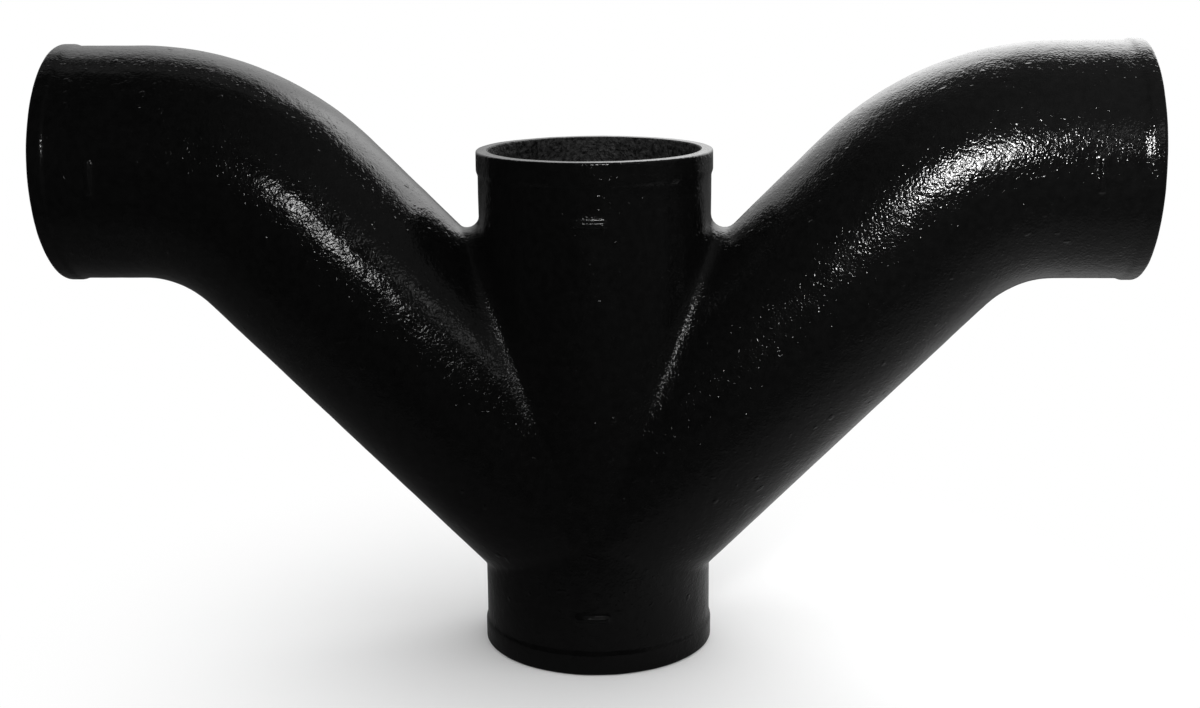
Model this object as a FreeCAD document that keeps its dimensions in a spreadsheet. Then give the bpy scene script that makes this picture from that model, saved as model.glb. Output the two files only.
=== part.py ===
import FreeCAD, Part
import math
import os
import Sketcher
from types import SimpleNamespace

# Double combination wye: one hollow iron casting for plain ended soil pipe and clamped sleeves.
# A straight upright run carries two opposite branches. Each leaves the run at 45 degrees and
# turns through one more eighth bend, so that both arms end level, each facing outwards.
# Millimetres, +Z up the run, +X along the right arm, origin at the centre of the lower end.

NODE = "double_combination_wye"

# Driving sizes in millimetres and degrees, each an alias in the sheet.
SIZES = {
    # the run: an upright straight pipe
    "run_length": 244.0,
    "barrel_diameter": 111.3,
    "wall": 5.6,
    # the branches: how much smaller than the run, where they start and how they bend
    "branch_undersize": 0.1,
    "branch_start": 62.7,
    "branch_angle": 45.0,
    "bend_radius": 98.5,
    "arm_height": 237.7,
    "arm_reach": 253.5,
    # the raised bead round each of the four ends
    "bead_height": 0.8,
    "bead_slope": 2.2,
    "run_bead_width": 11.0,
    "arm_bead_width": 7.5,
    "rim_bevel": 1.0,
    # the short bars, front and back, that stop a pushed on sleeve
    "lug_setback": 28.0,
    "lug_length": 16.0,
    "lug_width": 2.8,
    "lug_height": 1.1,
    "lug_bevel": 0.5,
    # the rounding where run and branches meet outside, and the core's eased edges inside
    "seam_fillet": 6.5,
    "core_bevel": 1.5,
}

# Formulas that several features share.
RUN_RADIUS = "Sizes.barrel_diameter / 2"
RUN_BORE = RUN_RADIUS + " - Sizes.wall"
BRANCH_RADIUS = RUN_RADIUS + " - Sizes.branch_undersize"
BRANCH_BORE = BRANCH_RADIUS + " - Sizes.wall"
BEAD_RADIUS = RUN_RADIUS + " + Sizes.bead_height"
BEAD_ROOT = RUN_RADIUS + " - Sizes.bead_height"
LUG_SPAN = "Sizes.barrel_diameter + 2 * Sizes.lug_height"

# Two lengths closer than this are the same one.
TOLERANCE = 0.01

UP = FreeCAD.Vector(0, 0, 1)
ACROSS = FreeCAD.Vector(1, 0, 0)


def make_sheet(doc):
    """The sheet of driving sizes, one alias to a row."""
    sheet = doc.addObject("Spreadsheet::Sheet", "Sizes")
    for row, (alias, value) in enumerate(SIZES.items(), start=1):
        sheet.set(f"A{row}", alias)
        sheet.set(f"B{row}", str(value))
        sheet.setAlias(f"B{row}", alias)
    doc.recompute()
    return sheet


def work_out(sheet):
    """The radii and places by which edges are picked, worked out from the sheet."""
    run_radius = sheet.barrel_diameter / 2
    branch_radius = run_radius - sheet.branch_undersize
    return SimpleNamespace(
        run_radius=run_radius,
        run_bore=run_radius - sheet.wall,
        branch_radius=branch_radius,
        branch_bore=branch_radius - sheet.wall,
        bead_radius=run_radius + sheet.bead_height,
        lug_reach=run_radius + sheet.lug_height,
        start=FreeCAD.Vector(0, 0, sheet.branch_start),
        angle=math.radians(sheet.branch_angle),
        arm_axis=FreeCAD.Vector(0, 0, sheet.arm_height),
        run_ends=(0, sheet.run_length),
        arm_end=sheet.arm_reach,
    )


def origin_plane(body, role):
    """One of the body's own origin planes."""
    return next(item for item in body.Origin.OriginFeatures if item.Role == role)


def add_sketch(body, name, role, offset):
    """A sketch on an origin plane, moved along the plane's axes by formulas of the sheet."""
    sketch = body.newObject("Sketcher::SketchObject", name)
    sketch.AttachmentSupport = [(origin_plane(body, role), "")]
    sketch.MapMode = "FlatFace"
    for direction, formula in offset.items():
        sketch.setExpression("AttachmentOffset.Base." + direction, formula)
    return sketch


def bind(sketch, constraint, name, formula):
    """Adds one dimension to a sketch and drives it from the sheet."""
    index = sketch.addConstraint(constraint)
    sketch.renameConstraint(index, name)
    sketch.setExpression("Constraints." + name, formula)


def circle_sketch(body, name, role, formula, **offset):
    """A sketch of one circle about the sketch's own origin."""
    sketch = add_sketch(body, name, role, offset)
    radius = SIZES["barrel_diameter"] / 2
    sketch.addGeometry(Part.Circle(FreeCAD.Vector(), UP, radius), False)
    sketch.addConstraint(Sketcher.Constraint("Coincident", 0, 3, -1, 1))
    bind(sketch, Sketcher.Constraint("Radius", 0, radius), "radius", formula)
    return sketch


def draw_loop(sketch, corners):
    """A closed outline of straight lines, joined end to end."""
    for here, there in zip(corners, corners[1:] + corners[:1]):
        sketch.addGeometry(Part.LineSegment(here, there), False)
    for line in range(len(corners)):
        following = (line + 1) % len(corners)
        sketch.addConstraint(Sketcher.Constraint("Coincident", line, 2, following, 1))


def bar_sketch(body, name, width_formula, height_formula, **offset):
    """A sketch of one rectangle, centred on the sketch's own origin."""
    sketch = add_sketch(body, name, "XZ_Plane", offset)
    half = SIZES["lug_length"] / 2
    turns = ((-1, -1), (1, -1), (1, 1), (-1, 1))
    draw_loop(sketch, [FreeCAD.Vector(half * x, half * y, 0) for x, y in turns])
    for line, direction in enumerate(("Horizontal", "Vertical", "Horizontal", "Vertical")):
        sketch.addConstraint(Sketcher.Constraint(direction, line))
    sketch.addConstraint(Sketcher.Constraint("Symmetric", 0, 1, 1, 2, -1, 1))
    bind(sketch, Sketcher.Constraint("DistanceX", 0, 1, 0, 2, 2 * half), "width", width_formula)
    bind(sketch, Sketcher.Constraint("DistanceY", 1, 1, 1, 2, 2 * half), "height", height_formula)
    return sketch


def bead_sketch(body, name, turn, width_formula, **offset):
    """Half a bead's section. The sketch's upright axis runs inwards from the pipe's end face."""
    sketch = add_sketch(body, name, "XZ_Plane", offset)
    sketch.AttachmentOffset = FreeCAD.Placement(FreeCAD.Vector(), FreeCAD.Rotation(UP, turn))
    radius, height = SIZES["barrel_diameter"] / 2, SIZES["bead_height"]
    width, slope = SIZES["arm_bead_width"], SIZES["bead_slope"]
    outline = (
        (radius - height, 0),
        (radius + height, 0),
        (radius + height, width - slope / 2),
        (radius - height, width + slope / 2),
    )
    corners = [FreeCAD.Vector(x, y, 0) for x, y in outline]
    draw_loop(sketch, corners)
    sketch.addConstraint(Sketcher.Constraint("PointOnObject", 0, 1, -1))
    sketch.addConstraint(Sketcher.Constraint("Horizontal", 0))
    sketch.addConstraint(Sketcher.Constraint("Vertical", 1))
    sketch.addConstraint(Sketcher.Constraint("Vertical", 3))
    places = (
        ("root", "DistanceX", 0, 1, radius - height, BEAD_ROOT),
        ("crown", "DistanceX", 0, 2, radius + height, BEAD_RADIUS),
        ("crest", "DistanceY", 1, 2, width - slope / 2, width_formula + " - Sizes.bead_slope / 2"),
        ("foot", "DistanceY", 2, 2, width + slope / 2, width_formula + " + Sizes.bead_slope / 2"),
    )
    for label, kind, line, end, value, formula in places:
        bind(sketch, Sketcher.Constraint(kind, -1, 1, line, end, value), label, formula)
    return sketch


def path_sketch(body):
    """The right branch's centre line: a leaning leg, the eighth bend and a level leg."""
    start, reach = SIZES["branch_start"], SIZES["arm_reach"]
    level, radius = SIZES["arm_height"], SIZES["bend_radius"]
    angle = math.radians(SIZES["branch_angle"])
    rise = level - start - radius * (1 - math.sin(angle))
    leg_end = FreeCAD.Vector(rise * math.tan(angle), start + rise, 0)
    bend_end = FreeCAD.Vector(leg_end.x + radius * math.cos(angle), level, 0)
    circle = Part.Circle(bend_end - FreeCAD.Vector(0, radius, 0), UP, radius)
    sketch = add_sketch(body, "BranchPath", "XZ_Plane", {})
    sketch.addGeometry(Part.LineSegment(FreeCAD.Vector(0, start, 0), leg_end), False)
    sketch.addGeometry(Part.ArcOfCircle(circle, math.pi / 2, math.pi - angle), False)
    sketch.addGeometry(Part.LineSegment(bend_end, FreeCAD.Vector(reach, level, 0)), False)
    sketch.addConstraint(Sketcher.Constraint("PointOnObject", 0, 1, -2))
    sketch.addConstraint(Sketcher.Constraint("Tangent", 0, 2, 1, 2))
    sketch.addConstraint(Sketcher.Constraint("Tangent", 1, 1, 2, 1))
    sketch.addConstraint(Sketcher.Constraint("Horizontal", 2))
    lean = Sketcher.Constraint("Angle", -1, 1, 0, 1, math.pi / 2 - angle)
    bind(sketch, lean, "lean", "90 - Sizes.branch_angle")
    bind(sketch, Sketcher.Constraint("DistanceY", -1, 1, 0, 1, start), "start", "Sizes.branch_start")
    bind(sketch, Sketcher.Constraint("DistanceY", -1, 1, 2, 2, level), "level", "Sizes.arm_height")
    bind(sketch, Sketcher.Constraint("DistanceX", -1, 1, 2, 2, reach), "reach", "Sizes.arm_reach")
    bind(sketch, Sketcher.Constraint("Radius", 1, radius), "bend", "Sizes.bend_radius")
    body.Document.recompute()
    return sketch


def measure(body):
    """The area and the volume of the solid so far."""
    if body.Tip is None:
        return 0.0, 0.0
    return body.Tip.Shape.Area, body.Tip.Shape.Volume


def finish_feature(body, feature, adds, before):
    """Recomputes, and stops where a cut took nothing away or an added form changed nothing."""
    body.Document.recompute()
    area_change = abs(feature.Shape.Area - before[0])
    loss = before[1] - feature.Shape.Volume
    if area_change < TOLERANCE or (loss < TOLERANCE and not adds):
        raise ValueError(f"{feature.Name} changed nothing")
    return feature


def extrude(body, kind, name, profile, formula, reverse=False, side="One side"):
    """A Pad or a Pocket of a sketch."""
    before = measure(body)
    feature = body.newObject("PartDesign::" + kind, name)
    feature.Profile = profile
    feature.SideType = side
    feature.Reversed = reverse
    feature.setExpression("Length", formula)
    return finish_feature(body, feature, kind == "Pad", before)


def revolve(body, name, profile):
    """A full turn of a section about its sketch's upright axis."""
    before = measure(body)
    feature = body.newObject("PartDesign::Revolution", name)
    feature.Profile = profile
    feature.ReferenceAxis = (profile, ["V_Axis"])
    feature.Angle = 360
    return finish_feature(body, feature, True, before)


def sweep(body, kind, name, path, formula):
    """A round pipe along the branch's centre line, added or cut."""
    before = measure(body)
    profile = circle_sketch(body, name + "Section", "XY_Plane", formula)
    profile.AttachmentOffset = FreeCAD.Placement(
        FreeCAD.Vector(0, 0, SIZES["branch_start"]),
        FreeCAD.Rotation(FreeCAD.Vector(0, 1, 0), SIZES["branch_angle"]),
    )
    profile.setExpression("AttachmentOffset.Base.z", "Sizes.branch_start")
    profile.setExpression("AttachmentOffset.Rotation.Angle", "Sizes.branch_angle")
    feature = body.newObject("PartDesign::" + kind, name)
    feature.Profile = profile
    feature.Spine = (path, ["Edge1", "Edge2", "Edge3"])
    return finish_feature(body, feature, kind == "AdditivePipe", before)


def mirror(body, name, original, adds):
    """The same feature on the other side of the run."""
    before = measure(body)
    feature = body.newObject("PartDesign::Mirrored", name)
    feature.Originals = [original]
    feature.MirrorPlane = (origin_plane(body, "YZ_Plane"), [""])
    body.Tip = feature
    return finish_feature(body, feature, adds, before)


def dress(body, kind, name, size, alias, test):
    """A Fillet or a Chamfer on every edge whose sampled points all pass a test."""
    base = body.Tip
    edges = [
        f"Edge{index}"
        for index, edge in enumerate(base.Shape.Edges, start=1)
        if all(test(point) for point in edge.discretize(Number=9))
    ]
    feature = body.newObject("PartDesign::" + kind, name)
    feature.Base = (base, edges)
    feature.setExpression(size, "Sizes." + alias)
    body.Document.recompute()
    return feature


def near(value, target):
    """True where two lengths agree."""
    return abs(value - target) < TOLERANCE


def off_axis(point, origin, direction):
    """How far a point lies from a line."""
    return (point - origin).cross(direction).Length


def on_junction(point, place, run_radius, branch_radius):
    """True on the curve where the run meets the leaning leg of either branch."""
    side = 1 if point.x > 0 else -1
    lean = FreeCAD.Vector(side * math.sin(place.angle), 0, math.cos(place.angle))
    on_run = near(off_axis(point, place.start, UP), run_radius)
    return on_run and near(off_axis(point, place.start, lean), branch_radius)


def on_run_circle(point, heights, radius):
    """True on a circle about the run at one of some heights."""
    on_level = any(near(point.z, height) for height in heights)
    return on_level and near(off_axis(point, FreeCAD.Vector(), UP), radius)


def on_arm_circle(point, place, distance, radius):
    """True on a circle about either arm at a distance from the run."""
    return near(abs(point.x), distance) and near(off_axis(point, place.arm_axis, ACROSS), radius)


def add_castings(body, path, place):
    """The outside of the run and both branches, with the rounded junctions between them."""
    run = circle_sketch(body, "RunSection", "XY_Plane", RUN_RADIUS)
    extrude(body, "Pad", "Run", run, "Sizes.run_length")
    branch = sweep(body, "AdditivePipe", "Branch", path, BRANCH_RADIUS)
    mirror(body, "Branches", branch, adds=True)
    radii = (place.run_radius, place.branch_radius)
    dress(body, "Fillet", "Seams", "Radius", "seam_fillet", lambda p: on_junction(p, place, *radii))


def add_beads(body):
    """The bead round each end, sloping down to the barrel."""
    width = "Sizes.run_bead_width"
    lower = bead_sketch(body, "LowerBeadSection", 0, width)
    revolve(body, "LowerBead", lower)
    upper = bead_sketch(body, "UpperBeadSection", 180, width, y="Sizes.run_length")
    revolve(body, "UpperBead", upper)
    offset = {"x": "Sizes.arm_reach", "y": "Sizes.arm_height"}
    arm = bead_sketch(body, "ArmBeadSection", 90, "Sizes.arm_bead_width", **offset)
    bead = revolve(body, "ArmBead", arm)
    mirror(body, "ArmBeads", bead, adds=True)


def add_lugs(body, place):
    """The stop bars: one across the front and one across the back of each end."""
    bar = ("Sizes.lug_length", "Sizes.lug_width")
    lower = bar_sketch(body, "LowerLugSection", *bar, y="Sizes.lug_setback")
    extrude(body, "Pad", "LowerLugs", lower, LUG_SPAN, side="Symmetric")
    top = "Sizes.run_length - Sizes.lug_setback"
    upper = bar_sketch(body, "UpperLugSection", *bar, y=top)
    extrude(body, "Pad", "UpperLugs", upper, LUG_SPAN, side="Symmetric")
    offset = {"x": "Sizes.arm_reach - Sizes.lug_setback", "y": "Sizes.arm_height"}
    arm = bar_sketch(body, "ArmLugSection", *reversed(bar), **offset)
    lug = extrude(body, "Pad", "ArmLug", arm, LUG_SPAN, side="Symmetric")
    mirror(body, "ArmLugs", lug, adds=True)
    reach = place.lug_reach
    dress(body, "Chamfer", "LugEdges", "Size", "lug_bevel", lambda p: near(abs(p.y), reach))


def cut_bores(body, path, place):
    """The waterway: the run's straight bore, both branches' bores and their eased edges."""
    run = circle_sketch(body, "RunBoreSection", "XY_Plane", RUN_BORE)
    extrude(body, "Pocket", "RunBore", run, "Sizes.run_length", reverse=True)
    bore = sweep(body, "SubtractivePipe", "BranchBore", path, BRANCH_BORE)
    mirror(body, "BranchBores", bore, adds=False)
    radii = (place.run_bore, place.branch_bore)
    dress(body, "Chamfer", "CoreEdges", "Size", "core_bevel", lambda p: on_junction(p, place, *radii))


def ease_rims(body, place):
    """The eased outer edge of each end face."""

    def on_rim(p):
        radius = place.bead_radius
        on_run = on_run_circle(p, place.run_ends, radius)
        return on_run or on_arm_circle(p, place, place.arm_end, radius)

    dress(body, "Chamfer", "Rims", "Size", "rim_bevel", on_rim)


def check(doc, body):
    """Stops where any object failed or the result isn't one valid solid."""
    for item in doc.Objects:
        if {"Invalid", "Error"} & set(item.State):
            raise ValueError(f"{item.Name} is {item.State}")
    shape = body.Shape
    if shape.isNull() or not shape.isValid() or len(shape.Solids) != 1:
        raise ValueError(f"{body.Label} isn't one valid solid")


def main():
    doc = FreeCAD.newDocument("wye")
    sheet = make_sheet(doc)
    place = work_out(sheet)
    body = doc.addObject("PartDesign::Body", NODE)
    body.Label = NODE
    body.Placement = FreeCAD.Placement()
    path = path_sketch(body)
    add_castings(body, path, place)
    add_beads(body)
    add_lugs(body, place)
    cut_bores(body, path, place)
    ease_rims(body, place)
    doc.recompute()
    check(doc, body)
    os.makedirs("parts", exist_ok=True)
    body.Shape.exportStep(f"parts/{body.Label}.step")
    print(f"{body.Label}: {body.Shape.Volume / 1000:.1f} cm3, {len(body.Shape.Faces)} faces")


main()
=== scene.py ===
import math

import bmesh
import bpy
import numpy as np
from mathutils import Matrix, Vector, kdtree, noise
from mathutils.geometry import delaunay_2d_cdt


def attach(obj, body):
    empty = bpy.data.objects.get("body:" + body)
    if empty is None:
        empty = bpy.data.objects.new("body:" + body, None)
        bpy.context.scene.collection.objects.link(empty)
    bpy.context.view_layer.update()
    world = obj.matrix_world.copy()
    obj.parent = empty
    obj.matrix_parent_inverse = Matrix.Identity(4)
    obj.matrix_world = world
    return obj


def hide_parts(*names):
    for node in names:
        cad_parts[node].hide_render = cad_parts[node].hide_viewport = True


# Double combination wye: one hollow iron casting with a glossy black coating over its rough skin.
# The casting is meshed again here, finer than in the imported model, so that its skin can undulate
# and its rims are round. Its sizes are in millimetres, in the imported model's frame. Materials, the
# studio and the camera are in metres.

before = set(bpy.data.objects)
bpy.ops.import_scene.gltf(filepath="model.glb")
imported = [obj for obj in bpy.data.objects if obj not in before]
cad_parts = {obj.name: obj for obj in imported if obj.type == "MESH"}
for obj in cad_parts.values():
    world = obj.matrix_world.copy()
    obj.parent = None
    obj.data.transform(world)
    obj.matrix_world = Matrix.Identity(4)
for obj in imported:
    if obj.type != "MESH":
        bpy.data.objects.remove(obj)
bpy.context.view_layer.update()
NODE = "double_combination_wye"
MM = 0.001

# The casting, as in the part's source
RUN_LENGTH = 244.0
RUN_RADIUS = 55.65
WALL = 5.6
BRANCH_UNDERSIZE = 0.1
BRANCH_RADIUS = RUN_RADIUS - BRANCH_UNDERSIZE
BRANCH_START = 62.7
BRANCH_ANGLE = math.radians(45)
BEND_RADIUS = 98.5
ARM_HEIGHT = 237.7
ARM_REACH = 253.5
SEAM_RADIUS = 6.5
CORE_RADIUS = 1.5
BEAD_HEIGHT = 0.8
RUN_BEAD_WIDTH = 11.0
ARM_BEAD_WIDTH = 7.5
LUG_SETBACK = 28.0
LUG_LENGTH = 16.0
LUG_WIDTH = 2.8
LUG_HEIGHT = 1.1

# Softer edges than the solid's bevels
BEAD_SLOPE = 3.0
RIM_RADIUS = 1.3
ARM_RIM_RADIUS = 2.0
BORE_EDGE_RADIUS = 1.0
LUG_SLOPE = 1.4

# The seams' hollows at the front and back: how far beside a seam they reach, how far from the middle
# plane they start and are full, the least pull that counts, and how the mesh is smoothed there
SEAM_BLEND = 11.0
HOLLOW_SPAN = (15.0, 35.0)
LEAST_PULL = 0.01
HOLLOW_PULL = 0.8
HOLLOW_TURNS = 14

# Rough coating: the heights at which it starts and is full along the seams, the distances from the
# middle of a stop bar at which it starts and is full, how rough it is there, and how far the bars
# are from the middle plane at least
ROUGH_MARK = "rough"
ROUGH_HEIGHTS = (105.0, 140.0)
ROUGH_BAR_REACH = (9.6, 1.6)
ROUGH_BAR = 0.7
BAR_DEPTH = 40.0

# The uneven skin lies this far under the smooth one, less its layers of noise: each one's spacing,
# its height and where in the noise it starts
SKIN_DEPTH = 0.21
SKIN_LAYERS = ((21, 0.085, (0, 0, 0)), (9.5, 0.0595, (7, 3, 1)), (4.6, 0.04, (2, 9, 4)))

# Distance between mesh points. Closer than these shares of it, a point gives way to a patch's outline
# or to the end of a stop bar.
OUTER_STEP = 2.15
INNER_STEP = 4.2
OUTLINE_GAP = 0.62
LUG_GAP = 0.3

# Fewest steps across a seam, rows of mesh points round an edge, and where rows lie on a slope, as
# shares of its width from its middle
LEAST_SEAM_STEPS = 3
RIM_ROWS = 7
BORE_EDGE_ROWS = 4
BEAD_SHARES = (-0.5, -0.25, 0, 0.25, 0.5)
LUG_SHARES = (-0.5, -0.17, 0.17, 0.5)

# Points that measure a seam, the plain barrel kept above and below it, and the gap that is welded
SEAM_SAMPLES = 3000
SEAM_MARGIN = 1.4
WELD = 0.002

# The coating's refraction, and how many metres each layer of its bumps stands for
COATING_IOR = 1.3
LUMP_BUMP = 0.00022
GRAIN_BUMP = 0.00012
PEBBLE_BUMP = 0.00009
NIB_BUMP = 0.00033
GRIT_BUMP = 0.0014

# Light on surfaces from all round
AMBIENT = 1.0
WHITE = (1, 1, 1, 1)

# The floor's size and colour, and how far from the middle it starts to turn white and is all white
FLOOR_SIZE = 60
PALE_FLOOR = 0.95
FLOOR_FADE = (0.06, 0.3)

# The light panel: how bright its left half is from end to middle, how much brighter its right half
# is, and how many times brighter both are at the best height
PANEL_LEFT = (0.06, 0.5)
PANEL_RIGHT = 0.5
PANEL_PEAK = 4.4

# How bright reflections show the studio, where 1 is white. Pairs are the left and the right, and the
# front's are shares of the floor's brightness. The floor's values and the pool's are painted into the
# floor's colour for reflections: painted shade to the left and in front, and a painted pool of light.
MIRRORED_BACKGROUND = 0.3
MIRRORED_ROOM = 0.01
MIRRORED_GLOW = 0.2
MIRRORED_CEILING = 0.21
MIRRORED_PAINTED_FLOOR = (0.03, 0.14)
FRONT_SHARES = (0.1, 0.5)
MIRRORED_PAINTED_POOL = 0.41

# Middle of the pool of light painted on the floor, which only reflections show
POOL_PLACE = (0.25, 0.1, 0)

# Frame of a branch: the leaning leg's direction, and across it towards the inside of the V
ALONG = np.array((math.sin(BRANCH_ANGLE), 0, math.cos(BRANCH_ANGLE)))
INWARD = np.array((-math.cos(BRANCH_ANGLE), 0, math.sin(BRANCH_ANGLE)))
DEPTH = np.array((0.0, 1.0, 0.0))
UP = np.array((0.0, 0.0, 1.0))
LEG_RISE = ARM_HEIGHT - BRANCH_START - BEND_RADIUS * (1 - math.sin(BRANCH_ANGLE))
LEG_LENGTH = LEG_RISE / math.cos(BRANCH_ANGLE)
ARM_START = LEG_RISE * math.tan(BRANCH_ANGLE) + BEND_RADIUS * math.cos(BRANCH_ANGLE)


def column(values):
    """A list of numbers as an upright array, so that it multiplies a vector into a row each."""
    return np.asarray(values, dtype=float)[..., None]


def run_point(angle, height, radius):
    """Points round the run. Angle 0 faces the right branch."""
    return np.stack(np.broadcast_arrays(radius * np.cos(angle), radius * np.sin(angle), height), -1)


def leg_point(angle, distance, radius):
    """Points round the leaning leg. Angle 0 faces the inside of the V."""
    round_leg = column(np.cos(angle)) * INWARD + column(np.sin(angle)) * DEPTH
    return BRANCH_START * UP + column(distance) * ALONG + radius * round_leg


def arm_point(angle, x, radius):
    """Points round the level arm. Angle 0 faces up."""
    height = ARM_HEIGHT + radius * np.cos(angle)
    return np.stack(np.broadcast_arrays(x, radius * np.sin(angle), height), -1)


def bend_point(angle, turn, radius):
    """Points round the bend. Turn 0 is where the leg ends, and the branch angle is the arm's start."""
    lean = BRANCH_ANGLE - turn
    outward = column(-np.sin(lean)) * np.array((1.0, 0, 0)) + column(np.cos(lean)) * UP
    centre = np.array((ARM_START, 0, ARM_HEIGHT - BEND_RADIUS))
    reach = column(BEND_RADIUS + radius * np.cos(angle))
    return centre + reach * outward + column(radius * np.sin(angle)) * DEPTH


def seam_curve(run_radius, branch_radius, roll, turns):
    """Centres and both contact lines of a ball that rolls along where run and leg meet."""
    across = (branch_radius + roll) * np.sin(turns)
    out = np.sqrt((run_radius + roll) ** 2 - across ** 2)
    inward = (branch_radius + roll) * np.cos(turns)
    distance = (out + inward * math.cos(BRANCH_ANGLE)) / math.sin(BRANCH_ANGLE)
    centre = leg_point(turns, distance, branch_radius + roll)
    on_leg = leg_point(turns, distance, branch_radius)
    on_run = run_point(np.arctan2(across, out), centre[:, 2], run_radius)
    return centre, on_run, on_leg, distance


def even_turns(run_radius, branch_radius, roll, step):
    """Angles round the leg that space the seam's points evenly."""
    fine = np.linspace(0, math.pi, SEAM_SAMPLES)
    centre = seam_curve(run_radius, branch_radius, roll, fine)[0]
    lengths = np.linalg.norm(np.diff(centre, axis=0), axis=1)
    travelled = np.concatenate(((0,), np.cumsum(lengths)))
    count = math.ceil(travelled[-1] / step)
    return np.interp(np.linspace(0, travelled[-1], count + 1), travelled, fine)


def seam_arcs(centre, on_run, on_leg, steps):
    """The rolled surface between the two contact lines, as a grid of points."""
    start, end = on_run - centre, on_leg - centre
    radius = np.linalg.norm(start[0])
    spread = np.arccos(np.clip(np.sum(start * end, axis=1) / radius ** 2, -1, 1))[:, None]
    rows = []
    for share in np.linspace(0, 1, steps + 1):
        blend = np.sin((1 - share) * spread) * start + np.sin(share * spread) * end
        rows.append(centre + blend / np.sin(spread))
    return np.array(rows)


def inside(points, outline):
    """Which points lie inside a closed outline."""
    result = np.zeros(len(points), dtype=bool)
    for (x0, y0), (x1, y1) in zip(outline, np.roll(outline, -1, axis=0)):
        if y0 != y1:
            crosses = (points[:, 1] < y0) != (points[:, 1] < y1)
            edge_x = x0 + (points[:, 1] - y0) * (x1 - x0) / (y1 - y0)
            result ^= crosses & (points[:, 0] < edge_x)
    return result


def fill_outline(outline, step):
    """A flat outline filled with even triangles."""
    low, high = outline.min(axis=0), outline.max(axis=0)
    rows = np.arange(low[1], high[1], step * math.sqrt(3) / 2)
    grid = np.array([
        (x, y)
        for row, y in enumerate(rows)
        for x in np.arange(low[0] + step * (row % 2) / 2, high[0], step)
    ])
    tree = kdtree.KDTree(len(outline))
    for index, point in enumerate(outline):
        tree.insert((*point, 0), index)
    tree.balance()
    clear = [point for point in grid[inside(grid, outline)]
             if tree.find((*point, 0))[2] > OUTLINE_GAP * step]
    points = [Vector(point) for point in outline] + [Vector(point) for point in clear]
    edge = list(range(len(outline)))
    only_inside, join_distance = 1, 1e-7
    filled = delaunay_2d_cdt(points, [], [edge], only_inside, join_distance)
    return np.array([tuple(point) for point in filled[0]]), [tuple(face) for face in filled[2]]


def spaced(start, end, step):
    """Numbers from start towards end in even steps, the end left out."""
    count = max(1, math.ceil(abs(end - start) / step))
    return np.linspace(start, end, count + 1)[:-1]


def even_marks(marks, step):
    """Numbers in falling order that hold every mark, with no gap over a step."""
    marks = sorted(set(marks), reverse=True)
    rows = [spaced(here, there, step) for here, there in zip(marks, marks[1:])]
    return np.concatenate(rows + [[marks[-1]]])


def smooth(value):
    """A soft step from 0 to 1."""
    value = np.clip(value, 0, 1)
    return value * value * (3 - 2 * value)


def rise(value, start, end):
    """A soft step from 0 at one value to 1 at another."""
    return smooth((value - start) / (end - start))


class Patches:
    """One quarter of the casting, the side at +X and +Y, gathered from patches."""

    def __init__(self):
        self.points = []
        self.faces = []

    def add(self, points, faces):
        """Points and the faces between them, numbered within the patch."""
        base = len(self.points)
        self.points.extend(points)
        self.faces.extend(tuple(base + index for index in face) for face in faces)

    def add_grid(self, grid):
        """Rows of points, with four-sided faces between them."""
        rows, columns = grid.shape[:2]
        faces = [
            (row * columns + place, row * columns + place + 1,
             (row + 1) * columns + place + 1, (row + 1) * columns + place)
            for row in range(rows - 1)
            for place in range(columns - 1)
        ]
        self.add(grid.reshape(-1, 3), faces)

    def add_ring(self, outer, inner):
        """A flat face between two rows that have different numbers of points."""
        faces = []
        first = second = 0
        last, final = len(outer) - 1, len(inner) - 1
        while first < last or second < final:
            ahead = (first + 1) / last <= (second + 1) / final
            if second == final or (first < last and ahead):
                faces.append((first, first + 1, last + 1 + second))
                first += 1
            else:
                faces.append((first, last + 2 + second, last + 1 + second))
                second += 1
        self.add([*outer, *inner], faces)


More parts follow.
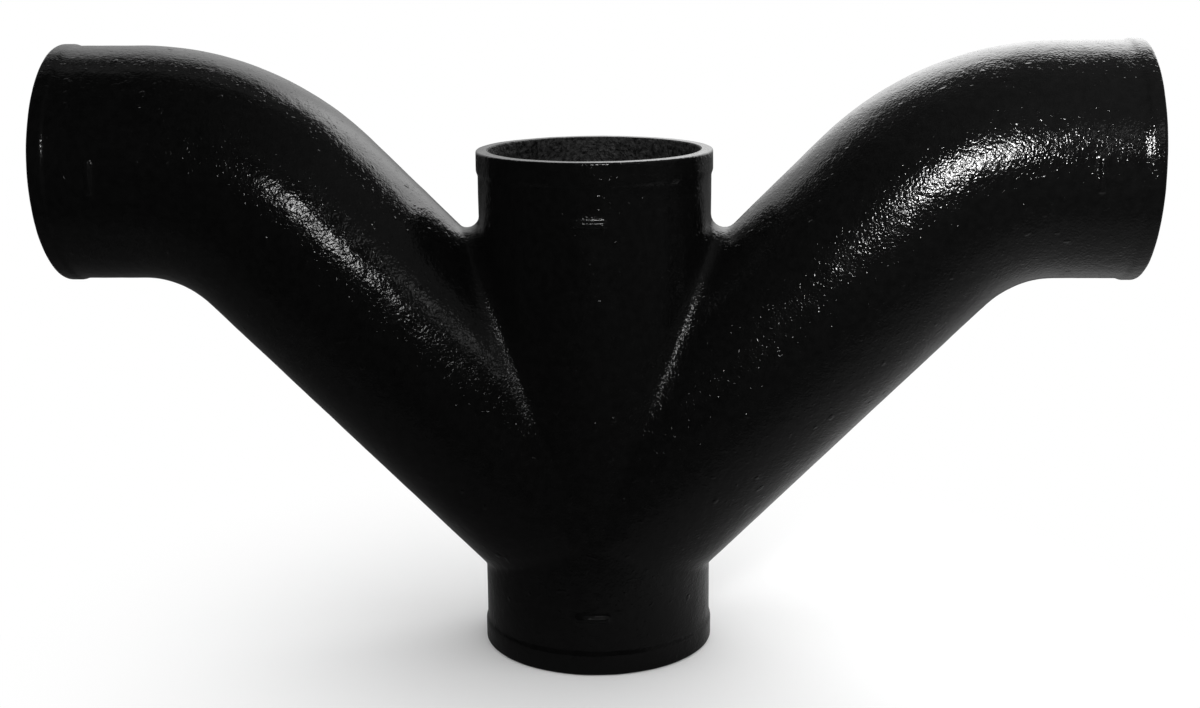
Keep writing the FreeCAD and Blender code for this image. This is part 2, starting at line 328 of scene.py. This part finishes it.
class Skin:
    """The outside or the bore: the run and a branch, joined by a rolled seam."""

    def __init__(self, run_radius, branch_radius, roll, step, lugs):
        self.run_radius, self.branch_radius = run_radius, branch_radius
        self.roll, self.step = roll, step
        self.run_columns = round_columns(math.pi / 2, run_radius, step, lugs)
        self.arm_columns = round_columns(math.pi, run_radius, step, lugs)
        self.turns = even_turns(run_radius, branch_radius, roll, step)
        self.centre, self.on_run, self.on_leg, self.distance = seam_curve(
            run_radius, branch_radius, roll, self.turns)
        self.low = self.on_run[-1, 2] - SEAM_MARGIN
        self.high = self.on_run[0, 2] + SEAM_MARGIN

    def add_seam(self, patches):
        """The rolled seam. Its arc is longest at the top, where run and branch meet most sharply."""
        longest = self.roll * (math.pi - BRANCH_ANGLE)
        steps = max(LEAST_SEAM_STEPS, math.ceil(longest / self.step))
        patches.add_grid(seam_arcs(self.centre, self.on_run, self.on_leg, steps))

    def add_run_middle(self, patches):
        """The stretch of the run that the branch leaves, round the seam."""
        quarter = math.pi / 2
        columns, radius = self.run_columns, self.run_radius
        low, high, step = self.low, self.high, self.step
        crotch, foot = self.on_run[0, 2], self.on_run[-1, 2]
        contact = np.arctan2(self.on_run[:, 1], self.on_run[:, 0])
        outline = [(angle, low) for angle in columns]
        outline += [(quarter, height) for height in spaced(low, high, step)[1:]]
        outline += [(angle, high) for angle in columns[::-1]]
        outline += [(0, height) for height in spaced(high, crotch, step)[1:]]
        outline += list(zip(contact, self.on_run[:, 2]))
        outline += [(0, height) for height in spaced(foot, low, step)[1:]]
        flat, faces = fill_outline(np.array(outline) * (radius, 1), step)
        patches.add(run_point(flat[:, 0] / radius, flat[:, 1], radius), faces)

    def add_leg(self, patches):
        """The leaning leg, from the seam to the bend."""
        radius, step = self.branch_radius, self.step
        outline = list(zip(self.turns, self.distance))
        outline += [(math.pi, place) for place in spaced(self.distance[-1], LEG_LENGTH, step)[1:]]
        outline += [(angle, LEG_LENGTH) for angle in self.arm_columns[::-1]]
        outline += [(0, place) for place in spaced(LEG_LENGTH, self.distance[0], step)[1:]]
        flat, faces = fill_outline(np.array(outline) * (radius, 1), step)
        patches.add(leg_point(flat[:, 0] / radius, flat[:, 1], radius), faces)

    def add_bend(self, patches):
        """The bend between the leg and the arm."""
        longest = (BEND_RADIUS + self.branch_radius) * BRANCH_ANGLE
        turns = np.linspace(0, BRANCH_ANGLE, math.ceil(longest / self.step) + 1)
        patches.add_grid(bend_point(self.arm_columns[None, :], turns[:, None], self.branch_radius))

    def add_end(self, patches, profile, marks, length, bead_width, columns, radius, point):
        """A stretch of some length next to an end face. Returns the row that lies on that face."""
        distance = even_marks([length, *marks(bead_width, length)], self.step)[:, None]
        angles = columns[None, :]
        radii = radius + profile(distance, bead_width, math.pi / 2 - angles)
        grid = point(angles, distance, radii)
        patches.add_grid(grid)
        return grid[-1]

    def add_ends(self, patches, profile, marks):
        """The stretches next to the end faces. Returns the rows that lie on those faces."""
        run = (RUN_BEAD_WIDTH, self.run_columns, self.run_radius)
        arm = (ARM_BEAD_WIDTH, self.arm_columns, self.branch_radius)
        ends = (
            (self.low, *run, run_point),
            (RUN_LENGTH - self.high, *run,
             lambda angle, distance, radius: run_point(angle, RUN_LENGTH - distance, radius)),
            (ARM_REACH - ARM_START, *arm,
             lambda angle, distance, radius: arm_point(angle, ARM_REACH - distance, radius)),
        )
        return [self.add_end(patches, profile, marks, *end) for end in ends]

    def add_to(self, patches, profile, marks):
        """The whole skin. Returns its rows of points on the end faces."""
        self.add_seam(patches)
        self.add_run_middle(patches)
        self.add_leg(patches)
        self.add_bend(patches)
        return self.add_ends(patches, profile, marks)


def edge_drop(distance, radius):
    """How far a rounded edge falls back, at a distance from the end face."""
    return radius - np.sqrt(np.maximum(radius ** 2 - np.maximum(radius - distance, 0) ** 2, 0))


def edge_marks(radius, rows):
    """Distances from the end face at which a rounded edge needs a row of points."""
    return [radius * (1 - math.sin(turn)) for turn in np.linspace(0, math.pi / 2, rows)]


def lug_marks(size):
    """Distances from a stop bar's middle, both ways, at which its sloped edges need points."""
    return [side * (size / 2 + LUG_SLOPE * share) for side in (-1, 1) for share in LUG_SHARES]


def rim_radius(bead_width):
    """How round an end's outer edge is. The arms' edges are rounder than the run's."""
    return ARM_RIM_RADIUS if bead_width == ARM_BEAD_WIDTH else RIM_RADIUS


def outer_profile(distance, bead_width, off_lug):
    """How far the outside stands proud of the barrel. off_lug is the angle from a stop bar's middle."""
    bead = BEAD_HEIGHT * smooth((bead_width + BEAD_SLOPE / 2 - distance) / BEAD_SLOPE)
    across = LUG_WIDTH / 2 + LUG_SLOPE / 2 - abs(distance - LUG_SETBACK)
    beside = LUG_LENGTH / 2 + LUG_SLOPE / 2 - abs(off_lug) * RUN_RADIUS
    lug = LUG_HEIGHT * smooth(across / LUG_SLOPE) * smooth(beside / LUG_SLOPE)
    return bead + lug - edge_drop(distance, rim_radius(bead_width))


def outer_marks(bead_width, length):
    """Distances from the end face at which the outside needs a row of points."""
    rim = edge_marks(rim_radius(bead_width), RIM_ROWS)
    slope = [bead_width + BEAD_SLOPE * share for share in BEAD_SHARES]
    lug = [LUG_SETBACK + mark for mark in lug_marks(LUG_WIDTH)]
    return [mark for mark in rim + slope + lug if mark < length]


def inner_profile(distance, *_):
    """How far the bore opens out at its edge, at a distance from the end face."""
    return edge_drop(distance, BORE_EDGE_RADIUS)


def inner_marks(*_):
    """Distances from the end face at which the bore needs a row of points."""
    return edge_marks(BORE_EDGE_RADIUS, BORE_EDGE_ROWS)


def round_columns(extent, radius, step, lugs):
    """Angles from 0 to an extent, evenly spaced apart from those at the ends of stop bars."""
    even = np.linspace(0, extent, math.ceil(extent * radius / step) + 1)
    if not lugs:
        return even
    ends = [math.pi / 2 + mark / radius for mark in lug_marks(LUG_LENGTH)]
    ends = [end for end in ends if end < extent]
    kept = [angle for angle in even if min(abs(angle - end) for end in ends) * radius > LUG_GAP * step]
    return np.array(sorted(kept + ends))


def casting_quarter():
    """The skin of one quarter, which of its faces are the bore's, and the outer seam's middle line."""
    patches = Patches()
    outside = Skin(RUN_RADIUS, BRANCH_RADIUS, SEAM_RADIUS, OUTER_STEP, lugs=True)
    outer_rows = outside.add_to(patches, outer_profile, outer_marks)
    bore_start = len(patches.faces)
    bore = Skin(RUN_RADIUS - WALL, BRANCH_RADIUS - WALL, CORE_RADIUS, INNER_STEP, lugs=False)
    inner_rows = bore.add_to(patches, inner_profile, inner_marks)
    bore_end = len(patches.faces)
    for outer, inner in zip(outer_rows, inner_rows):
        patches.add_ring(outer, inner)
    in_bore = [int(bore_start <= face < bore_end) for face in range(len(patches.faces))]
    seam_line = (outside.on_run + outside.on_leg) / 2
    return np.array(patches.points), patches.faces, in_bore, seam_line


def cast_skin(point):
    """How far the rough skin lies below the smooth one, in millimetres."""
    layers = (height * noise.noise(point / spacing + Vector(start))
              for spacing, height, start in SKIN_LAYERS)
    return SKIN_DEPTH - sum(layers)


def soften_seams(form, seam_line):
    """Widens the outer seams into shallow hollows at the front and back, and marks them as rough."""
    mark = form.verts.layers.float.new(ROUGH_MARK)
    tree = kdtree.KDTree(len(seam_line))
    for index, point in enumerate(seam_line):
        tree.insert(point, index)
    tree.balance()
    pulls = {}
    for vert in form.verts:
        x, y, z = vert.co
        near = tree.find((abs(x), abs(y), z))[2]
        pull = smooth(1 - near / SEAM_BLEND) * rise(abs(y), *HOLLOW_SPAN)
        if pull > LEAST_PULL and not any(face.material_index for face in vert.link_faces):
            pulls[vert] = HOLLOW_PULL * float(pull)
            vert[mark] = float(pull * rise(z, *ROUGH_HEIGHTS))
    for _ in range(HOLLOW_TURNS):
        moved = {}
        for vert, pull in pulls.items():
            beside = [edge.other_vert(vert).co for edge in vert.link_edges]
            middle = sum(beside, Vector()) / len(beside)
            moved[vert] = vert.co.lerp(middle, pull)
        for vert, place in moved.items():
            vert.co = place


def mark_stop_bars(form):
    """Marks the skin round the stop bars as rough."""
    mark = form.verts.layers.float[ROUGH_MARK]
    middles = ((0, LUG_SETBACK), (0, RUN_LENGTH - LUG_SETBACK), (ARM_REACH - LUG_SETBACK, ARM_HEIGHT))
    for vert in form.verts:
        x, y, z = vert.co
        if abs(y) > BAR_DEPTH:
            near = min(math.hypot(abs(x) - across, z - height) for across, height in middles)
            vert[mark] = max(vert[mark], ROUGH_BAR * float(rise(near, *ROUGH_BAR_REACH)))


def make_casting():
    """The casting as one closed mesh, mirrored from its quarter, with its skin made uneven."""
    points, faces, in_bore, seam_line = casting_quarter()
    mesh = bpy.data.meshes.new("casting")
    every_point, every_face = [], []
    for flip in ((1, 1, 1), (-1, 1, 1), (1, -1, 1), (-1, -1, 1)):
        base = len(every_point)
        every_point.extend(map(tuple, points * flip))
        every_face.extend(tuple(base + index for index in face) for face in faces)
    mesh.from_pydata(every_point, [], every_face)
    mesh.polygons.foreach_set("material_index", in_bore * 4)
    form = bmesh.new()
    form.from_mesh(mesh)
    bmesh.ops.remove_doubles(form, verts=form.verts, dist=WELD)
    bmesh.ops.recalc_face_normals(form, faces=form.faces)
    soften_seams(form, seam_line)
    mark_stop_bars(form)
    form.normal_update()
    normals = [vert.normal.copy() for vert in form.verts]
    for vert, normal in zip(form.verts, normals):
        vert.co -= normal * cast_skin(vert.co)
    bmesh.ops.scale(form, vec=(MM, MM, MM), verts=form.verts)
    for face in form.faces:
        face.smooth = True
    form.to_mesh(mesh)
    form.free()
    casting = bpy.data.objects.new("casting", mesh)
    bpy.context.collection.objects.link(casting)
    return casting


def add_node(tree, kind, inputs=None, **settings):
    """A shader node with its settings and input values."""
    node = tree.nodes.new(kind)
    for name, value in settings.items():
        setattr(node, name, value)
    for name, value in (inputs or {}).items():
        node.inputs[name].default_value = value
    return node


def new_material(name):
    """A material, with its node tree, its shader and the place on its object as a node's output."""
    material = bpy.data.materials.new(name)
    material.use_nodes = True
    tree = material.node_tree
    place = add_node(tree, "ShaderNodeTexCoord").outputs["Object"]
    return material, tree, tree.nodes["Principled BSDF"], place


def axes(tree, place):
    """The X, Y and Z of a place, as a node's outputs."""
    split = add_node(tree, "ShaderNodeSeparateXYZ")
    tree.links.new(place, split.inputs["Vector"])
    return split.outputs


def ramp(tree, value, start, end, low, high):
    """A node's output, stretched from one span to another."""
    node = add_node(tree, "ShaderNodeMapRange",
                    {"From Min": start, "From Max": end, "To Min": low, "To Max": high})
    tree.links.new(value, node.inputs["Value"])
    return node.outputs["Result"]


def fade(tree, value, start, end):
    """A soft step of a node's output from 0 to 1."""
    step = add_node(tree, "ShaderNodeMapRange", {"From Min": start, "From Max": end},
                    interpolation_type="SMOOTHSTEP")
    tree.links.new(value, step.inputs["Value"])
    return step.outputs["Result"]


def combine(tree, operation, first, second):
    """The result of a calculation on the outputs of two nodes."""
    node = add_node(tree, "ShaderNodeMath", operation=operation)
    tree.links.new(first, node.inputs[0])
    tree.links.new(second, node.inputs[1])
    return node.outputs["Value"]


def choose(tree, factor, plain, special):
    """A plain number or node's output where a factor is 0, and a special one where it is 1."""
    node = add_node(tree, "ShaderNodeMix", data_type="FLOAT")
    tree.links.new(factor, node.inputs["Factor"])
    for name, value in (("A", plain), ("B", special)):
        if isinstance(value, float):
            node.inputs[name].default_value = value
        else:
            tree.links.new(value, node.inputs[name])
    return node.outputs["Result"]


def noise_value(tree, place, scale, low=0.0, high=1.0, detail=2.0, span=(0.0, 1.0)):
    """A noise whose values in a span run from low to high."""
    grain = add_node(tree, "ShaderNodeTexNoise", {"Scale": scale, "Detail": detail, "Roughness": 0.5})
    tree.links.new(place, grain.inputs["Vector"])
    return ramp(tree, grain.outputs["Fac"], *span, low, high)


def roughen(tree, shader, heights):
    """Bumps a surface by heights, each the output of a node and how many metres it stands for."""
    normal = None
    for height, distance in heights:
        bump = add_node(tree, "ShaderNodeBump", {"Strength": 1.0, "Distance": distance})
        tree.links.new(height, bump.inputs["Height"])
        if normal:
            tree.links.new(normal, bump.inputs["Normal"])
        normal = bump.outputs["Normal"]
    tree.links.new(normal, shader.inputs["Normal"])


def coated_iron():
    """Glossy black coating over a pebbled cast skin. It is rougher where marked, and to the right."""
    material, tree, shader, place = new_material("coated_iron")
    shader.inputs["IOR"].default_value = COATING_IOR
    marked = add_node(tree, "ShaderNodeAttribute", attribute_name=ROUGH_MARK).outputs["Fac"]
    marked_span = (0.3, 0.9)
    marked_grain = ramp(tree, marked, *marked_span, 1.0, 2.2)
    marked_dull = ramp(tree, marked, *marked_span, 0.0, 0.09)
    patches = noise_value(tree, place, 75.0, 0.7, 1.5, detail=1.0, span=(0.3, 0.7))
    to_right = ramp(tree, axes(tree, place)["X"], -0.15, 0.15, 0.75, 1.5)
    grain = noise_value(tree, place, 850.0, detail=1.0)
    grain = combine(tree, "MULTIPLY", grain, combine(tree, "MULTIPLY", patches, to_right))
    grain = combine(tree, "MULTIPLY", grain, marked_grain)
    lumps = noise_value(tree, place, 260.0)
    pebbles = noise_value(tree, place, 540.0, detail=1.0, span=(0.63, 0.76))
    nibs = noise_value(tree, place, 230.0, detail=0.0, span=(0.785, 0.875))
    roughen(tree, shader, ((lumps, LUMP_BUMP), (grain, GRAIN_BUMP), (pebbles, PEBBLE_BUMP),
                           (nibs, NIB_BUMP)))
    black = noise_value(tree, place, 300.0, 0.0008, 0.0028, detail=3.0)
    dull = combine(tree, "ADD", noise_value(tree, place, 65.0, 0.06, 0.20), marked_dull)
    tree.links.new(black, shader.inputs["Base Color"])
    tree.links.new(dull, shader.inputs["Roughness"])
    return material


def rough_bore():
    """Matt, mottled coating inside the casting."""
    material, tree, shader, place = new_material("rough_bore")
    shader.inputs["IOR"].default_value = COATING_IOR
    roughen(tree, shader, ((noise_value(tree, place, 420.0), GRIT_BUMP),))
    mottled = noise_value(tree, place, 500.0, 0.0005, 0.018, span=(0.35, 0.65))
    dull = noise_value(tree, place, 65.0, 0.45, 0.7)
    tree.links.new(mottled, shader.inputs["Base Color"])
    tree.links.new(dull, shader.inputs["Roughness"])
    return material


def painted_mirrored_floor(tree, place):
    """How bright reflections show the floor, painted into its colour: painted shade to the left and in
    front, and a painted pool of light.
    """
    wide_span = (-0.9, 0.9)
    front_span = (-0.3, 0.0)
    front_end = (-0.35, -0.1)
    pool_reach = (0.05, 0.4)
    split = axes(tree, place)
    across, depth = split["X"], split["Y"]
    front = ramp(tree, fade(tree, across, *front_span), 0.0, 1.0, *FRONT_SHARES)
    lit = combine(tree, "MAXIMUM", front, fade(tree, depth, *front_end))
    wide = combine(tree, "MULTIPLY", lit, ramp(tree, across, *wide_span, *MIRRORED_PAINTED_FLOOR))
    off_pool = add_node(tree, "ShaderNodeVectorMath", {1: POOL_PLACE}, operation="DISTANCE")
    tree.links.new(place, off_pool.inputs[0])
    pool = ramp(tree, off_pool.outputs["Value"], *pool_reach, MIRRORED_PAINTED_POOL, 0.0)
    return combine(tree, "ADD", wide, pool)


def add_floor():
    """A wide pale floor that fades into the white background a little way off."""
    bpy.ops.mesh.primitive_plane_add(size=FLOOR_SIZE)
    floor = bpy.context.object
    floor.name = "floor"
    material, tree, shader, place = new_material("pale_floor")
    link = tree.links.new
    shader.inputs["Roughness"].default_value = 0.9
    shader.inputs["Specular IOR Level"].default_value = 0.1
    glossy_ray = add_node(tree, "ShaderNodeLightPath").outputs["Is Glossy Ray"]
    # For reflections, the floor's colour and its glow far off carry painted shade and a painted pool of
    # light.
    mirrored = painted_mirrored_floor(tree, place)
    link(choose(tree, glossy_ray, PALE_FLOOR, mirrored), shader.inputs["Base Color"])
    far = add_node(tree, "ShaderNodeEmission", {"Color": WHITE})
    link(choose(tree, glossy_ray, 1.0, mirrored), far.inputs["Strength"])
    away = add_node(tree, "ShaderNodeVectorMath", operation="LENGTH")
    link(place, away.inputs["Vector"])
    mix = add_node(tree, "ShaderNodeMixShader")
    link(fade(tree, away.outputs["Value"], *FLOOR_FADE), mix.inputs["Fac"])
    link(shader.outputs["BSDF"], mix.inputs[1])
    link(far.outputs["Emission"], mix.inputs[2])
    link(mix.outputs["Shader"], tree.nodes["Material Output"].inputs["Surface"])
    material.cycles.emission_sampling = "NONE"
    floor.data.materials.append(material)


def mirrored_room(tree, direction):
    """How bright reflections show the room: pale low down behind, with a glow above and at the right.

    The parts of a direction run from -1 to 1.
    """
    split = axes(tree, direction)
    across, depth, height = split["X"], split["Y"], split["Z"]
    behind = combine(tree, "MULTIPLY", fade(tree, depth, 0.2, 0.6), fade(tree, height, 0.35, 0.22))
    room = ramp(tree, behind, 0.0, 1.0, MIRRORED_ROOM, MIRRORED_BACKGROUND)
    high = combine(tree, "MULTIPLY", fade(tree, depth, 0.05, 0.35), fade(tree, height, 0.5, 0.8))
    right = combine(tree, "MULTIPLY", fade(tree, across, 0.6, 0.95), fade(tree, height, -0.3, 0.1))
    glow = ramp(tree, combine(tree, "MAXIMUM", high, right), 0.0, 1.0, 0.0, MIRRORED_GLOW)
    return combine(tree, "ADD", room, glow)


def add_world():
    """Even light from all round. The camera sees it white, and reflections show a dim studio."""
    world = bpy.data.worlds.new("studio")
    bpy.context.scene.world = world
    world.use_nodes = True
    tree = world.node_tree
    rays = add_node(tree, "ShaderNodeLightPath").outputs
    room = mirrored_room(tree, add_node(tree, "ShaderNodeTexCoord").outputs["Generated"])
    seen = combine(tree, "MAXIMUM", rays["Is Camera Ray"], rays["Is Transmission Ray"])
    unseen = choose(tree, rays["Is Glossy Ray"], AMBIENT, room)
    background = tree.nodes["Background"]
    background.inputs["Color"].default_value = WHITE
    tree.links.new(choose(tree, seen, unseen, 1.0), background.inputs["Strength"])


def add_screen(name, place, turn, size, brightness):
    """A plane of light that the camera doesn't see. Its brightness is a function of its own axes."""
    bpy.ops.mesh.primitive_plane_add(size=1, location=place, rotation=(turn, 0, 0))
    screen = bpy.context.object
    screen.name = name
    screen.scale = (*size, 1)
    screen.visible_camera = False
    screen.visible_shadow = False
    material, tree, _, own_place = new_material(name)
    split = axes(tree, own_place)
    light = add_node(tree, "ShaderNodeEmission", {"Color": WHITE})
    tree.links.new(brightness(tree, split["X"], split["Y"]), light.inputs["Strength"])
    tree.links.new(light.outputs["Emission"], tree.nodes["Material Output"].inputs["Surface"])
    screen.data.materials.append(material)
    return screen


def panel_brightness(tree, across, upward):
    """Brighter to the right, and brightest near the middle height. Its axes run from -0.5 to 0.5."""
    left = ramp(tree, across, -0.5, -0.03, *PANEL_LEFT)
    right = ramp(tree, fade(tree, across, -0.05, 0.06), 0.0, 1.0, 0.0, PANEL_RIGHT)
    lower = ramp(tree, upward, -0.544, -0.056, 0.0, PANEL_PEAK)
    upper = fade(tree, upward, 0.41, -0.03)
    return combine(tree, "MULTIPLY", combine(tree, "ADD", left, right),
                   combine(tree, "MULTIPLY", lower, upper))


def ceiling_brightness(tree, across, _):
    """Dark to the left, and brighter to the right. Its axes run from -0.5 to 0.5."""
    return ramp(tree, across, -0.15625, 0.21875, 0.0, MIRRORED_CEILING)


def add_screens():
    """A wide light behind the object, and a dim ceiling that only reflections show."""
    add_screen("light_panel", (-0.02, 0.41, 0.65), math.pi / 2, (1.2, 0.9), panel_brightness)
    ceiling = add_screen("ceiling", (0, -0.25, 0.66), math.pi, (1.6, 0.6), ceiling_brightness)
    ceiling.visible_diffuse = False
    ceiling.data.materials[0].cycles.emission_sampling = "NONE"


def add_softbox(name, place, target, size, radiance, spread=180):
    """A soft lamp. Places and sizes are in metres, and a radiance of 1 is white."""
    lamp = bpy.data.lights.new(name, "AREA")
    lamp.shape = "RECTANGLE"
    lamp.size, lamp.size_y = size
    lamp.energy = radiance * math.pi * size[0] * size[1]
    lamp.spread = math.radians(spread)
    item = bpy.data.objects.new(name, lamp)
    item.location = place
    item.rotation_euler = (Vector(target) - Vector(place)).to_track_quat("-Z", "Y").to_euler()
    item.visible_camera = False
    bpy.context.collection.objects.link(item)


def add_lamps():
    """A lamp over the camera for each arm, the right one brighter, and a weak one farther right."""
    add_softbox("front_right", place=(0.11, -0.75, 0.53), target=(0.29, 0, 0.26), size=(0.17, 0.12),
                radiance=13.5, spread=50)
    add_softbox("front_left", place=(0.1, -0.75, 0.51), target=(-0.25, 0, 0.3), size=(0.11, 0.08),
                radiance=3.6, spread=40)
    add_softbox("side", place=(0.57, -0.75, 0.7), target=(-0.07, 0, 0.2), size=(0.22, 0.14),
                radiance=2.2)


def add_camera():
    """The photograph's viewpoint."""
    place = Vector((0.04252, -0.82008, 0.33790))
    target = Vector((0.001894, 0, 0.14373))
    roll = math.radians(-0.504)
    focal_pixels, image_width, sensor = 1733.54, 1200, 36.0
    data = bpy.data.cameras.new("camera")
    data.sensor_width = sensor
    data.lens = focal_pixels * sensor / image_width
    data.clip_start, data.clip_end = 0.01, 100
    camera = bpy.data.objects.new("camera", data)
    back = (place - target).normalized()
    right = Vector((0, 0, 1)).cross(back).normalized()
    up = back.cross(right)
    level = Matrix((right, up, back)).transposed()
    camera.matrix_world = Matrix.Translation(place) @ (level @ Matrix.Rotation(roll, 3, "Z")).to_4x4()
    bpy.context.collection.objects.link(camera)
    bpy.context.scene.camera = camera


casting = make_casting()
casting.data.materials.append(coated_iron())
casting.data.materials.append(rough_bore())
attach(casting, "root")
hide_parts(NODE)
add_floor()
add_world()
add_screens()
add_lamps()
add_camera()
bpy.context.scene.view_settings.view_transform = "Standard"
